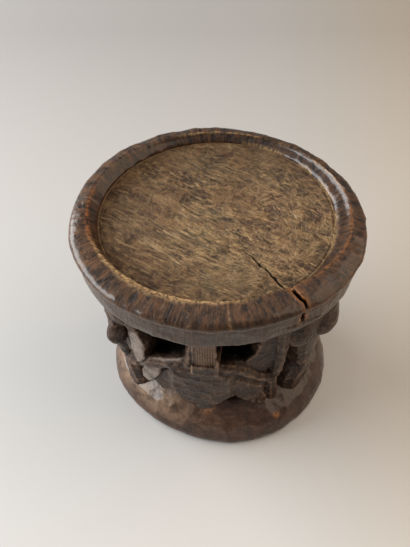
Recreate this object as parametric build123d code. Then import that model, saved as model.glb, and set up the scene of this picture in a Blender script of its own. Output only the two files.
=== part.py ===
from build123d import *
import os
from math import cos, radians, sin

# A round stool carved from one log: a dished seat and a base disc joined by an openwork band of four
# crouching figures, with knobs hanging from the seat between them.
# Millimetres, Z up, origin at the centre of the base's underside. The front is towards -Y.
# A turn is an angle about Z, counted from the front, positive towards +X, as a share of a quarter turn.

# Seat
SEAT_RADIUS = 165.0
SEAT_TAPER = 9.0  # how far the seat draws in down to its underside
SEAT_EDGE_RISE = 24.0  # from the underside up to the widest level
SEAT_THICKNESS = 28.0
RIM_WIDTH = 34.0
RIM_RISE = 13.0
CREST_INSET = 20.0  # from the widest radius in to the crest's outer side
CREST_WIDTH = 6.0

# Drying crack, which runs outwards from near the heart of the log
CRACK_START = 55.0
CRACK_GAPE = 3.6
CRACK_FLOOR_DEPTH = 6.0
CRACK_RIM_DEPTH = 30.0

# Base disc: its side swells out, then slopes in to a raised crown under the figures
BASE_RADIUS = 138.5
BASE_HEIGHT = 42.0
BASE_FOOT_INSET = 5.0
BASE_WIDEST_HEIGHT = 9.0
BASE_SIDE_INSET = 3.5
BASE_SIDE_HEIGHT = 20.0
BASE_EDGE_INSET = 10.0
BASE_EDGE_DROP = 11.0
BASE_CROWN_INSET = 27.0

# Carved band between the base and the seat. The figures' faces lie on a cone that widens upwards.
BAND_HEIGHT = 180.0
CARVING_INSET = 18.0  # from the seat's widest radius in to the cone, at the seat's underside
FOOT_INSET = 13.5  # from the base's widest radius in to the cone, at the base's crown

# Figure: how far the limbs' outlines are sunk in the cone, how far their faces rise, and their depth
LIMB_DEPTH = 24.0
LIMB_SINK = 3.0
LIMB_RISE = 3.5
TORSO_SINK = 9.0
TORSO_RISE = 14.0
POST_RISE = 1.0
THIGH_SINK = 6.0
THIGH_RISE = 5.0
SHIN_SINK = 8.0

# Knobs
KNOB_WIDTH = 31.0
KNOB_DROP = 54.0
FRONT_KNOB_WIDTH = 38.0
FRONT_KNOB_DROP = 64.0
SIDE_KNOB_WIDTH = 44.0
SIDE_KNOB_DROP = 76.0
STUB_WIDTH = 42.0
STUB_DROP = 46.0
BEAD_WIDTH = 23.0
BEAD_HEIGHT = 50.0
BEAD_SINK = 4.0  # how far the bead is sunk into the stub above it

# Every cut runs this far past the face it opens
OVERRUN = 5.0

# Where the pieces stand round the axis, as shares of a quarter turn
QUARTER = 90.0
figure_turn_shares = {"front": -0.059, "right": 0.989, "back": 1.956, "left": -1.111}
knob_turn_shares = {"back_right": 1.456, "back_left": -1.578}
front_knob_turn_share = 0.456
side_knob_turn_share = 0.644
stub_turn_share = -0.560
crack_turn_share = 0.361

# Limbs' outlines on the unrolled cone, round a figure's own middle: share of a quarter turn to the right,
# share of the band's height. The post's head widens on one side into a small collar.
outline_shares = {
    "post": (
        (-0.05, -0.08),
        (0.05, -0.08),
        (0.05, 0.61),
        (0.07, 0.61),
        (0.07, 0.78),
        (0.05, 1.03),
        (-0.06, 1.03),
    ),
    "torso": (
        (-0.12, 0.67),
        (-0.21, 0.54),
        (-0.22, 0.38),
        (-0.21, 0.21),
        (-0.13, 0.08),
        (0.00, 0.08),
        (0.07, 0.12),
        (0.15, 0.22),
        (0.18, 0.39),
        (0.16, 0.58),
        (0.08, 0.66),
    ),
    "upper_arm_left": (
        (-0.16, 0.60),
        (-0.26, 0.48),
        (-0.42, 0.42),
        (-0.40, 0.33),
        (-0.26, 0.38),
        (-0.17, 0.39),
    ),
    "forearm_left": (
        (-0.46, 1.03),
        (-0.36, 1.03),
        (-0.33, 0.69),
        (-0.36, 0.56),
        (-0.44, 0.40),
        (-0.45, 0.74),
    ),
    "thigh_left": ((-0.16, 0.48), (-0.28, 0.34), (-0.38, 0.29), (-0.37, 0.23), (-0.16, 0.30)),
    "shin_left": (
        (-0.43, 0.41),
        (-0.38, 0.39),
        (-0.35, 0.27),
        (-0.33, -0.10),
        (-0.41, -0.10),
        (-0.40, 0.27),
    ),
    "upper_arm_right": (
        (0.04, 0.66),
        (0.17, 0.64),
        (0.35, 0.34),
        (0.43, 0.31),
        (0.43, 0.26),
        (0.38, 0.22),
        (0.27, 0.30),
        (0.11, 0.39),
    ),
    "forearm_right": (
        (0.38, 0.29),
        (0.38, 0.60),
        (0.37, 1.03),
        (0.47, 1.03),
        (0.47, 0.44),
        (0.45, 0.28),
    ),
    "thigh_right": (
        (0.06, 0.20),
        (0.09, 0.42),
        (0.16, 0.46),
        (0.26, 0.31),
        (0.36, 0.08),
        (0.32, 0.04),
        (0.15, 0.23),
    ),
    "shin_right": ((0.27, 0.20), (0.36, 0.28), (0.45, 0.29), (0.51, -0.10), (0.23, -0.10)),
}

# The other three figures are cut stouter than the front one, and two of them reach further round
stout_outline_shares = {
    "forearm_left": (
        (-0.49, 1.03),
        (-0.36, 1.03),
        (-0.33, 0.60),
        (-0.36, 0.42),
        (-0.43, 0.34),
        (-0.49, 0.39),
    ),
    "shin_left": (
        (-0.47, 0.39),
        (-0.38, 0.40),
        (-0.33, 0.10),
        (-0.30, -0.10),
        (-0.45, -0.10),
        (-0.46, 0.27),
    ),
    "forearm_right": (
        (0.38, 0.28),
        (0.38, 0.49),
        (0.36, 1.03),
        (0.50, 1.03),
        (0.50, 0.44),
        (0.47, 0.27),
    ),
}
own_outline_shares = {
    "front": {},
    "right": {
        **stout_outline_shares,
        "forearm_left": (
            (-0.54, 1.03),
            (-0.37, 1.03),
            (-0.33, 0.60),
            (-0.36, 0.37),
            (-0.46, 0.28),
            (-0.54, 0.56),
        ),
        "shin_left": (
            (-0.49, 0.30),
            (-0.36, 0.34),
            (-0.26, 0.10),
            (-0.24, -0.10),
            (-0.47, -0.10),
            (-0.53, 0.10),
        ),
    },
    "back": stout_outline_shares,
    "left": {
        **stout_outline_shares,
        "forearm_right": (
            (0.38, 1.03),
            (0.50, 1.03),
            (0.56, 0.62),
            (0.62, 0.46),
            (0.60, 0.37),
            (0.46, 0.28),
            (0.40, 0.29),
        ),
        "shin_right": (
            (0.27, 0.20),
            (0.36, 0.28),
            (0.50, 0.32),
            (0.59, 0.36),
            (0.62, 0.32),
            (0.54, 0.19),
            (0.56, -0.10),
            (0.23, -0.10),
        ),
    },
}

# Sizes of the flat on a limb's face and of its back, as shares of its outline
face_size_share = 0.78
torso_face_size_share = 0.60
post_face_size_share = 0.99
back_size_share = 1.12

# Knobs stand at these shares of the carving radius, and their throats have this share of their width
knob_radius_share = 0.925
front_knob_radius_share = 0.915
side_knob_radius_share = 0.935
stub_radius_share = 0.895
bead_radius_share = 0.940
throat_share = 0.88

SEAT_UNDERSIDE = BASE_HEIGHT + BAND_HEIGHT
SEAT_FLOOR = SEAT_UNDERSIDE + SEAT_THICKNESS
SEAT_TOP = SEAT_FLOOR + RIM_RISE
DISH_RADIUS = SEAT_RADIUS - RIM_WIDTH
CARVING_RADIUS = SEAT_RADIUS - CARVING_INSET
FOOT_RADIUS = BASE_RADIUS - FOOT_INSET


def turned(shape, turn_share):
    """The shape carried round the stool's axis by a share of a quarter turn."""
    return Rotation(0, 0, QUARTER * turn_share) * shape


def trimmed(piece, others):
    """A piece cut back where it runs into others, and the biggest solid of what is left."""
    for other in others:
        own, its = piece.bounding_box(), other.bounding_box()
        apart = own.min.X > its.max.X or own.min.Y > its.max.Y or own.min.Z > its.max.Z
        apart = apart or own.max.X < its.min.X or own.max.Y < its.min.Y or own.max.Z < its.min.Z
        if not apart:
            piece = piece - other
    return largest(piece)


def largest(shape):
    """The biggest solid of a shape that cutting may have left in pieces."""
    return max(shape.solids(), key=lambda solid: solid.volume)


def revolved(section):
    """A body of revolution from a section drawn in radius and height."""
    return revolve(Plane.XZ * section, Axis.Z)


def limb(shares, sink, rise, face_size):
    """A hewn limb: its outline, sunk in the cone, with a hipped face in front and spreading sides behind."""
    corners = []
    for turn_share, height_share in shares:
        turn = radians(QUARTER * turn_share)
        radius = FOOT_RADIUS + (CARVING_RADIUS - FOOT_RADIUS) * height_share - sink
        level = BASE_HEIGHT + BAND_HEIGHT * height_share
        corners.append(Vector(radius * sin(turn), -radius * cos(turn), level))
    middle = sum(corners, Vector()) / len(corners)
    outwards = Vector(middle.X, middle.Y, 0).normalized()
    lean = outwards * BAND_HEIGHT - Vector(0, 0, CARVING_RADIUS - FOOT_RADIUS)
    stand = Plane(middle, x_dir=(-outwards.Y, outwards.X, 0), z_dir=lean)
    flat = [stand.to_local_coords(corner) for corner in corners]
    layers = []
    for level, size in ((-LIMB_DEPTH, back_size_share), (0, 1), (rise, face_size)):
        outline = Polygon(*[(point.X * size, point.Y * size) for point in flat], align=None)
        layers.append(stand * Pos(0, 0, level) * outline)
    return loft(layers, ruled=True)


def knob(width, drop, top, radius_share, turn_share):
    """A drop-shaped knob that hangs from a level, turned like a bead about its own upright axis."""
    foot = (0, top - drop)
    belly = (width / 2, top - drop + width / 2)
    throat = (width * throat_share / 2, top)
    section = make_face(
        RadiusArc(foot, belly, -width / 2)
        + Line(belly, throat)
        + Line(throat, (0, top))
        + Line((0, top), foot)
    )
    stood = Pos(0, -CARVING_RADIUS * radius_share, 0) * revolved(section)
    return turned(stood, turn_share)


def band_slab():
    """The space from the base's widest level up to the seat's underside."""
    height = SEAT_UNDERSIDE - BASE_WIDEST_HEIGHT
    slab = Cylinder(SEAT_RADIUS, height, align=(Align.CENTER, Align.CENTER, Align.MIN))
    return Pos(0, 0, BASE_WIDEST_HEIGHT) * slab


def crack_cut(floor_level):
    """The wedge of the drying crack, which opens towards the seat's edge."""
    end = -SEAT_RADIUS - OVERRUN
    wedge = Polygon((0, -CRACK_START), (-CRACK_GAPE / 2, end), (CRACK_GAPE / 2, end), align=None)
    wedge = Pos(0, 0, floor_level) * extrude(wedge, SEAT_TOP + OVERRUN - floor_level)
    return turned(wedge, crack_turn_share)


def seat_panel():
    """The dished seat's flat floor."""
    panel = Cylinder(DISH_RADIUS, SEAT_THICKNESS, align=(Align.CENTER, Align.CENTER, Align.MIN))
    return Pos(0, 0, SEAT_UNDERSIDE) * panel - crack_cut(SEAT_FLOOR - CRACK_FLOOR_DEPTH)


def seat_rim():
    """The raised rim round the floor: tapered below, rounded outside, with a steep inner slope."""
    edge_level = SEAT_UNDERSIDE + SEAT_EDGE_RISE
    crest_outer = SEAT_RADIUS - CREST_INSET
    crest_inner = crest_outer - CREST_WIDTH
    inner_foot = (DISH_RADIUS, SEAT_UNDERSIDE)
    outer_foot = (SEAT_RADIUS - SEAT_TAPER, SEAT_UNDERSIDE)
    shoulder_rise = SEAT_TOP - edge_level
    shoulder = EllipticalCenterArc((crest_outer, edge_level), CREST_INSET, shoulder_rise, arc_size=QUARTER)
    section = make_face(
        Line(inner_foot, outer_foot)
        + Line(outer_foot, (SEAT_RADIUS, edge_level))
        + shoulder
        + Line((crest_outer, SEAT_TOP), (crest_inner, SEAT_TOP))
        + Line((crest_inner, SEAT_TOP), (DISH_RADIUS, SEAT_FLOOR))
        + Line((DISH_RADIUS, SEAT_FLOOR), inner_foot)
    )
    return revolved(section) - crack_cut(SEAT_TOP - CRACK_RIM_DEPTH)


def base_disc():
    """The base: a thick disc with a swelling side, sloping in to its crown."""
    foot = (BASE_RADIUS - BASE_FOOT_INSET, 0)
    widest = (BASE_RADIUS, BASE_WIDEST_HEIGHT)
    side = (BASE_RADIUS - BASE_SIDE_INSET, BASE_SIDE_HEIGHT)
    edge = (BASE_RADIUS - BASE_EDGE_INSET, BASE_HEIGHT - BASE_EDGE_DROP)
    crown = (BASE_RADIUS - BASE_CROWN_INSET, BASE_HEIGHT)
    section = make_face(
        Line((0, 0), foot)
        + ThreePointArc(foot, widest, side)
        + Line(side, edge)
        + Line(edge, crown)
        + Line(crown, (0, BASE_HEIGHT))
        + Line((0, BASE_HEIGHT), (0, 0))
    )
    return revolved(section)


def limb_form(name):
    """How deep a limb's outline is sunk, how far its face rises, and the size of the flat on its face."""
    if name == "post":
        return 0, POST_RISE, post_face_size_share
    if name == "torso":
        return TORSO_SINK, TORSO_RISE, torso_face_size_share
    if "thigh" in name:
        return THIGH_SINK, THIGH_RISE, face_size_share
    if "shin" in name:
        return SHIN_SINK, LIMB_RISE, face_size_share
    return LIMB_SINK, LIMB_RISE, face_size_share


def figure(own_shares, base):
    """One crouching figure that faces the front, as named pieces that meet face to face."""
    slab = band_slab()
    pieces = {}
    for name, shares in {**outline_shares, **own_shares}.items():
        pieces[name] = trimmed(limb(shares, *limb_form(name)) & slab, [base, *pieces.values()])
    return pieces


def knobs():
    """The knobs under the seat."""
    made = {}
    for name, turn_share in knob_turn_shares.items():
        made["knob_" + name] = knob(KNOB_WIDTH, KNOB_DROP, SEAT_UNDERSIDE, knob_radius_share, turn_share)
    made["knob_front_right"] = knob(
        FRONT_KNOB_WIDTH, FRONT_KNOB_DROP, SEAT_UNDERSIDE, front_knob_radius_share, front_knob_turn_share
    )
    side_knob = knob(
        SIDE_KNOB_WIDTH, SIDE_KNOB_DROP, SEAT_UNDERSIDE, side_knob_radius_share, side_knob_turn_share
    )
    made["knob_right_side"] = trimmed(side_knob, [made["knob_front_right"]])
    stub = knob(STUB_WIDTH, STUB_DROP, SEAT_UNDERSIDE, stub_radius_share, stub_turn_share)
    bead_top = SEAT_UNDERSIDE - STUB_DROP + BEAD_SINK
    bead = knob(BEAD_WIDTH, BEAD_HEIGHT, bead_top, bead_radius_share, stub_turn_share)
    made["knob_front_left_stub"] = stub
    made["knob_front_left_bead"] = trimmed(bead, [stub])
    return made


nodes = {"seat_panel": seat_panel(), "seat_rim": seat_rim(), "base_disc": base_disc()}
nodes.update(knobs())
standing = [piece for name, piece in nodes.items() if "knob" in name]
for figure_name, turn_share in figure_turn_shares.items():
    carved = []
    for limb_name, piece in figure(own_outline_shares[figure_name], nodes["base_disc"]).items():
        piece = trimmed(turned(piece, turn_share), standing)
        nodes[figure_name + "_" + limb_name] = piece
        carved.append(piece)
    standing = standing + carved

os.makedirs("parts", exist_ok=True)
for node_name, solid in nodes.items():
    export_step(solid, "parts/" + node_name + ".step")
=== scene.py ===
import itertools
import math

import bpy
import numpy as np
import openvdb
from mathutils import Matrix, Vector


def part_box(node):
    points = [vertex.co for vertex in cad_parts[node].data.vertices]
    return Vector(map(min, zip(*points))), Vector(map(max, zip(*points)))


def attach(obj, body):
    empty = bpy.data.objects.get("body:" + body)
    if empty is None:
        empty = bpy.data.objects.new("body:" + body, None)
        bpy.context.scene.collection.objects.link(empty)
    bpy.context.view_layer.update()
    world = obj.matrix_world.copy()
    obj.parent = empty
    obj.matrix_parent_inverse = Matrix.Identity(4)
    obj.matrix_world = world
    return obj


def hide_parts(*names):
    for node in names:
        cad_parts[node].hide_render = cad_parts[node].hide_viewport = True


# The looks of a round stool carved from one log. Metres, Z up, the front towards -Y.
# A turn is an azimuth in degrees from the front, positive towards +X.
# A name that ends in MM or mm stands for millimetres, and the turns in such a table are in degrees.

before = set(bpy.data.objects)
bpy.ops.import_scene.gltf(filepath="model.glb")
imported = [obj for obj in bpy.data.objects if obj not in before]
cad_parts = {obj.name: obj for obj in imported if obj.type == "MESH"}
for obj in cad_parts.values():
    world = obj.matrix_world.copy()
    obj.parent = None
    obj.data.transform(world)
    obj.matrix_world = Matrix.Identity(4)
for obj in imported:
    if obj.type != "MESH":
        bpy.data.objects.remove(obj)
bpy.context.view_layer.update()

MM = 0.001
TAU = 2 * math.pi

# Sizes that come from the frame
SEAT_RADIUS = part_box("seat_rim")[1][0]
UNDERSIDE, SEAT_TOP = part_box("seat_rim")[0][2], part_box("seat_rim")[1][2]
DISH_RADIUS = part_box("seat_panel")[1][0]
SEAT_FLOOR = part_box("seat_panel")[1][2]
BASE_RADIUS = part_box("base_disc")[1][0]
BASE_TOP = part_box("base_disc")[1][2]
BAND = UNDERSIDE - BASE_TOP

# The cone that the figures are carved on: its radius at the seat, at the base, and where it is laid flat
CARVING_RADIUS = SEAT_RADIUS * 0.89
FOOT_RADIUS = SEAT_RADIUS * 0.7575
UNROLL_RADIUS = SEAT_RADIUS * 0.8485
FIGURE_TURNS = {"front": -5.3, "right": 89, "back": 176, "left": -100}

# How fine the meshes are, with closer cross sections on both sides of the seat's crack
VOXEL = 1.25 * MM
ROUND_STEPS = 470
BASE_STEPS = ROUND_STEPS + 90
CRACK_TURN = 32.5
CRACK_REACH = 5
CRACK_STEPS = 90
FINE_STEP = 1.1 * MM
POLE = 0.02 * MM


# Noise

NOISE_CELLS = 32
SCOOP_CELLS = 16


def noise(points, size_mm, seed):
    """Smooth noise from about -1 to 1 at each point, in lumps of about that size."""
    lattice = np.random.default_rng(seed).uniform(-1, 1, (NOISE_CELLS,) * 3)
    place = points / (size_mm * MM)
    cell = np.floor(place).astype(int)
    part = place - cell
    part = part * part * (3 - 2 * part)
    total = np.zeros(len(points))
    for corner in itertools.product((0, 1), repeat=3):
        weight = np.prod(np.where(corner, part, 1 - part), axis=1)
        i, j, k = ((cell + corner) % NOISE_CELLS).T
        total += weight * lattice[i, j, k]
    return total


def scoops(points, size_mm, seed):
    """Shallow scoops of about that size, as an adze leaves: low in the middle, a ridge where two meet."""
    seeds = np.random.default_rng(seed).uniform(0.1, 0.9, (SCOOP_CELLS,) * 3 + (3,))
    place = points / (size_mm * MM)
    cell = np.floor(place).astype(int)
    nearest = np.full(len(points), 4.0)
    for corner in itertools.product((-1, 0, 1), repeat=3):
        i, j, k = ((cell + corner) % SCOOP_CELLS).T
        offset = place - (cell + corner + seeds[i, j, k])
        nearest = np.minimum(nearest, np.sum(offset**2, axis=1))
    return nearest * 3 - 0.6


def clamp(value):
    return np.clip(value, 0, 1)


def smoothstep(low, high, value):
    part = clamp((value - low) / (high - low))
    return part * part * (3 - 2 * part)


def look_up(table, value):
    """Reads a table of pairs at each value, and between its rows too."""
    known, results = zip(*table)
    return np.interp(value, known, results)


def radius_of(points):
    return np.hypot(points[:, 0], points[:, 1])


def azimuth(points):
    return np.degrees(np.arctan2(points[:, 0], -points[:, 1]))


def turn_gap(turns, centre):
    """Signed difference in degrees between turns and a centre, the short way round."""
    return (turns - centre + 180) % 360 - 180


def between(turns, start, full, fading, end):
    """1 from the turn full to the turn fading, and 0 before start and past end."""
    return smoothstep(start, full, turns) * smoothstep(end, fading, turns)


# Mesh making

WEAR_ROUNDS = 8
WEAR_RANGE = 2.4 * MM


def new_mesh(name, points, faces):
    mesh = bpy.data.meshes.new(name)
    mesh.from_pydata([tuple(p) for p in points], [], faces)
    return mesh


def new_object(name, data):
    thing = bpy.data.objects.new(name, data)
    bpy.context.collection.objects.link(thing)
    return thing


def vertex_values(mesh, name):
    values = np.empty(len(mesh.vertices) * 3)
    mesh.vertices.foreach_get(name, values)
    return values.reshape(-1, 3)


def vertex_normals(points, faces):
    mesh = new_mesh("normals", points, faces)
    normals = vertex_values(mesh, "normal")
    bpy.data.meshes.remove(mesh)
    return normals


def make_object(name, points, faces, material, nodes):
    """A visible piece on the stool's one body, in place of the CAD pieces that nodes names."""
    mesh = new_mesh(name, points, faces)
    mesh.update()
    mesh.polygons.foreach_set("use_smooth", [True] * len(mesh.polygons))
    mesh.materials.append(material)
    piece = new_object(name, mesh)
    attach(piece, "root")
    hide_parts(*nodes)
    add_wear(mesh)
    return piece


def add_wear(mesh):
    """Stores how far each vertex stands out of its neighbourhood: above 0.5 on ridges, less in hollows."""
    count = len(mesh.vertices)
    places, normals = vertex_values(mesh, "co"), vertex_values(mesh, "normal")
    ends = np.empty(len(mesh.edges) * 2, dtype=int)
    mesh.edges.foreach_get("vertices", ends)
    a, b = ends.reshape(-1, 2).T
    near = places
    for _ in range(WEAR_ROUNDS):
        total = np.zeros_like(places)
        amount = np.zeros(count)
        for one, other in ((a, b), (b, a)):
            for axis in range(3):
                total[:, axis] += np.bincount(one, near[other, axis], count)
            amount += np.bincount(one, minlength=count)
        near = (near + total / np.maximum(amount, 1)[:, None]) / 2
    stand = np.sum((places - near) * normals, axis=1)
    add_layer(mesh, "wear", clamp(0.5 + stand / WEAR_RANGE))


def add_layer(mesh, name, value):
    layer = mesh.attributes.new(name, "FLOAT", "POINT")
    layer.data.foreach_set("value", value)


# Round pieces: a section in radius and height, carried round the axis

def round_turns():
    """Azimuths for the seat's cross sections: even, and closer together round the crack."""
    even = np.linspace(-180, 180, ROUND_STEPS, endpoint=False)
    close = CRACK_TURN + np.linspace(-CRACK_REACH, CRACK_REACH, CRACK_STEPS)
    return np.sort(np.concatenate([even[np.abs(turn_gap(even, CRACK_TURN)) > CRACK_REACH + 0.1], close]))


def beyond(radius, height, steps_mm):
    """A section's corners, given by how far they lie beyond a radius and above a height."""
    return [(radius + across * MM, height + up * MM) for across, up in steps_mm]


def along_section(corners, step):
    """Points along a polyline in radius and height, at about even steps."""
    points = [corners[0]]
    for start, end in zip(corners, corners[1:]):
        length = math.dist(start, end)
        count = max(1, round(length / step))
        for k in range(1, count + 1):
            points.append(tuple(s + (e - s) * k / count for s, e in zip(start, end)))
    return np.array(points)


def rounded(corners, rounds):
    """The polyline with its corners cut, as Chaikin's rule does."""
    for _ in range(rounds):
        cut = [corners[0]]
        for start, end in zip(corners, corners[1:]):
            cut.append(tuple(0.75 * s + 0.25 * e for s, e in zip(start, end)))
            cut.append(tuple(0.25 * s + 0.75 * e for s, e in zip(start, end)))
        corners = cut + [corners[-1]]
    return corners


def carried(out, up, turns):
    """Vectors given by their parts outwards and up, carried round the axis."""
    angle = np.radians(turns)
    out = out[:, None]
    up = np.broadcast_to(up[:, None], (len(up), len(turns)))
    return np.stack([out * np.sin(angle), -out * np.cos(angle), up], axis=2).reshape(-1, 3)


def spin(section, turns, closed):
    """Points and faces of a section carried round the axis. A closed section's end joins its start."""
    rows, columns = len(section), len(turns)
    faces = []
    for i in range(rows if closed else rows - 1):
        for j in range(columns):
            k = (j + 1) % columns
            m = (i + 1) % rows
            faces.append((i * columns + j, i * columns + k, m * columns + k, m * columns + j))
    return carried(section[:, 0], section[:, 1], turns), faces


def spun_normals(section, turns):
    """Outward normals of a section carried round the axis, if it runs anticlockwise seen from +Y."""
    step = np.gradient(section, axis=0)
    flat = np.stack([step[:, 1], -step[:, 0]], axis=1)
    flat /= np.maximum(np.linalg.norm(flat, axis=1), 1e-9)[:, None]
    return carried(flat[:, 0], flat[:, 1], turns)


# Carving by distance fields: each shape gives, for every point, how far it lies outside the shape

# How far round its outline a limb is worked out, and the distance that it gives farther off
LIMB_MARGIN = 22 * MM
FAR_OFF = 12 * MM
# The sizes of the marks that the tools and the grain leave on a figure
ADZE_MARK_MM = 15
KNIFE_MARK_MM = 6
GRAIN_MM = 3


def unrolled(points):
    """The carving's cone laid flat: distance round it, height, and how far out of it a point lies."""
    across = np.arctan2(points[:, 0], -points[:, 1]) * UNROLL_RADIUS
    cone = np.interp(points[:, 2], (BASE_TOP, UNDERSIDE), (FOOT_RADIUS, CARVING_RADIUS))
    return across, points[:, 2], radius_of(points) - cone


def outline_gap(across, height, outline_mm):
    """Distance from a closed outline, below zero inside it."""
    outline = [(a * MM, h * MM) for a, h in outline_mm]
    nearest = np.full(len(across), 1.0)
    inside = np.zeros(len(across), dtype=bool)
    for (a0, h0), (a1, h1) in zip(outline, outline[1:] + outline[:1]):
        da, dh = a1 - a0, h1 - h0
        part = clamp(((across - a0) * da + (height - h0) * dh) / (da * da + dh * dh))
        nearest = np.minimum(nearest, (across - a0 - part * da) ** 2 + (height - h0 - part * dh) ** 2)
        if dh:
            inside ^= ((h0 <= height) != (h1 <= height)) & (across < a0 + (height - h0) * da / dh)
    return np.sqrt(nearest) * np.where(inside, -1, 1)


def member(place, edge, rise, back, outline_mm, slope=0.8, flare=0.15):
    """A hewn limb. Its face rises from the outline's edge as a hipped roof does, and its back is wider."""
    across, height, out = place
    low = np.min(outline_mm, axis=0) * MM - LIMB_MARGIN
    high = np.max(outline_mm, axis=0) * MM + LIMB_MARGIN
    near = (across > low[0]) & (across < high[0]) & (height > low[1]) & (height < high[1])
    shape = np.full(len(across), FAR_OFF)
    out = out[near]
    gap = outline_gap(across[near], height[near], outline_mm) + flare * np.minimum(out - edge * MM, 0)
    roof = (out - edge * MM + slope * gap) / math.hypot(1, slope)
    face = out - (edge + rise) * MM
    shape[near] = np.maximum(np.maximum(gap, roof), np.maximum(face, back * MM - out))
    return shape


def blend(a, b, soft):
    """The union of two shapes with a fillet of about that size."""
    share = clamp(0.5 + 0.5 * (b - a) / soft)
    return b * (1 - share) + a * share - soft * share * (1 - share)


def mesh_of(shape, low, high, voxel):
    """Polygonises a shape between two corners."""
    counts = [int((h - l) / voxel) + 1 for l, h in zip(low, high)]
    axes = [l + voxel * np.arange(n) for l, n in zip(low, counts)]
    grid_points = np.stack(np.meshgrid(*axes, indexing="ij"), axis=-1).reshape(-1, 3)
    values = np.concatenate([shape(part) for part in np.array_split(grid_points, 8)])
    outside = 3.0
    field = values.reshape(counts) / voxel
    field[[0, -1], :, :] = outside
    field[:, [0, -1], :] = outside
    field[:, :, [0, -1]] = outside
    grid = openvdb.FloatGrid(background=outside)
    grid.copyFromArray(np.clip(field, -outside, outside).astype(np.float32))
    points, triangles, quads = grid.convertToPolygons(isovalue=0, adaptivity=0)
    faces = [tuple(f) for f in quads.tolist() + triangles.tolist()]
    return points.astype(float) * voxel + np.array(low), faces


def turned(points, turn):
    x, y, z = points.T
    cos, sin = math.cos(math.radians(turn)), math.sin(math.radians(turn))
    return np.stack([x * cos - y * sin, x * sin + y * cos, z], axis=1)


def hew(points, faces, seed, coarse=0.7 * MM, fine=0.22 * MM):
    """Leaves the marks of the adze and the knife on a carved surface."""
    marks = scoops(points, ADZE_MARK_MM, seed) * coarse + scoops(points, KNIFE_MARK_MM, seed + 1) * fine
    marks += noise(points, GRAIN_MM, seed + 2) * 0.12 * MM
    return points + vertex_normals(points, faces) * marks[:, None]


# The four figures

# For each limb: the level of its edge out of the cone, how far its face rises above that, and its back's
# level. Then its outline on the unrolled cone: distance to the right of the post, height above the floor.
LIMBS_MM = {
    "post": (0, 0.5, -27, ((-13, 236), (12, 236), (12, 150), (9, 62), (-13, 62), (-14, 150))),
    "collar": (3, 0.5, -20, ((-15, 164), (-15, 149), (14, 146), (15, 174), (12, 178), (11, 164))),
    "sliver": (-2, 3, -20, ((-14, 196), (-13, 158), (-22, 140), (-28, 146), (-22, 172), (-17, 194))),
    "torso": (-5, 8, -30, (
        (-30, 160), (-46, 144), (-51, 104), (-43, 84), (-29, 72), (-4, 67), (12, 68), (24, 75), (38, 92),
        (38, 120), (34, 144), (18, 158),
    )),
    "right_pad": (-9, 1, -30, (
        (24, 158), (46, 153), (59, 164), (65, 190), (70, 236), (90, 236), (90, 130), (66, 112),
    )),
    "right_arm": (-4, 4, -26, (
        (10, 160), (34, 155), (50, 144), (66, 124), (82, 114), (96, 118), (98, 107), (78, 99), (60, 113),
        (36, 137), (14, 143),
    )),
    "right_forearm": (-4, 4, -30, (
        (84, 112), (86, 140), (83, 170), (80, 236), (100, 236), (99, 166), (99, 112),
    )),
    "right_leg": (-8, 7, -30, (
        (12, 78), (22, 116), (34, 140), (60, 116), (80, 101), (78, 80), (70, 60), (66, 53), (58, 54),
        (46, 68), (32, 84),
    )),
    "right_foot": (-10, 3, -32, ((62, 88), (78, 76), (88, 54), (88, 40), (74, 40), (66, 58))),
    "right_shin": (-10, 4, -30, ((80, 92), (98, 94), (106, 60), (112, 24), (90, 24), (86, 60))),
    "left_forearm": (0, 0.6, -22, (
        (-97, 236), (-85, 236), (-79, 191), (-72, 168), (-77, 136), (-90, 117), (-95, 144), (-93, 180),
    )),
    "left_arm": (-4, 4, -26, (
        (-24, 166), (-50, 151), (-76, 138), (-92, 116), (-93, 106), (-70, 117), (-44, 136), (-30, 138),
    )),
    "left_shin": (-1.5, 0.6, -26, (
        (-81, 117), (-55, 133), (-58, 118), (-68, 98), (-80, 82), (-93, 81), (-90, 96),
    )),
    "left_thigh": (-8, 1.5, -30, (
        (-34, 134), (-44, 136), (-60, 112), (-79, 84), (-66, 67), (-54, 74), (-43, 86), (-34, 96),
    )),
}
# What the neighbours of the front figure have in place of those, where the photograph shows them
STOUT_LIMBS_MM = {
    "right_forearm": (-1, 3, -30, (
        (88, 92), (90, 130), (88, 170), (84, 236), (106, 236), (105, 166), (106, 121), (100, 90),
    )),
    "left_forearm": (-2, 5, -28, (
        (-106, 236), (-80, 236), (-76, 180), (-72, 150), (-80, 118), (-94, 104), (-106, 112), (-108, 140),
        (-108, 180),
    )),
    "left_shin": (-5, 5, -28, (
        (-104, 112), (-84, 114), (-74, 96), (-72, 60), (-66, 24), (-98, 24), (-98, 70), (-104, 90),
    )),
}
OTHER_LIMBS_MM = {
    "front": {
        "left_link": (-8, 4, -26, (
            (-120, 150), (-106, 153), (-88, 120), (-94, 106), (-104, 108), (-116, 124),
        )),
        "left_pad": (-9, 7, -30, (
            (-140, 84), (-122, 100), (-102, 106), (-93, 100), (-98, 88), (-112, 76), (-134, 60), (-144, 66),
        )),
    },
    "right": {
        **STOUT_LIMBS_MM,
        "left_forearm": (-2, 6, -30, (
            (-120, 236), (-82, 236), (-76, 180), (-72, 150), (-80, 108), (-102, 92), (-112, 112),
            (-118, 142), (-120, 180),
        )),
        "left_shin": (-8, 8, -30, (
            (-106, 100), (-80, 104), (-62, 84), (-56, 50), (-52, 24), (-104, 24), (-112, 44), (-116, 70),
        )),
    },
    "back": STOUT_LIMBS_MM,
    "left": {
        **STOUT_LIMBS_MM,
        "right_shin": (-8, 6, -30, ((80, 92), (98, 94), (112, 72), (122, 48), (116, 24), (84, 24), (82, 60))),
    },
}
# How much a limb widens towards its back
FLARES = {"right_forearm": 0.5, "left_forearm": 0.08}
USUAL_FLARE = 0.25

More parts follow.
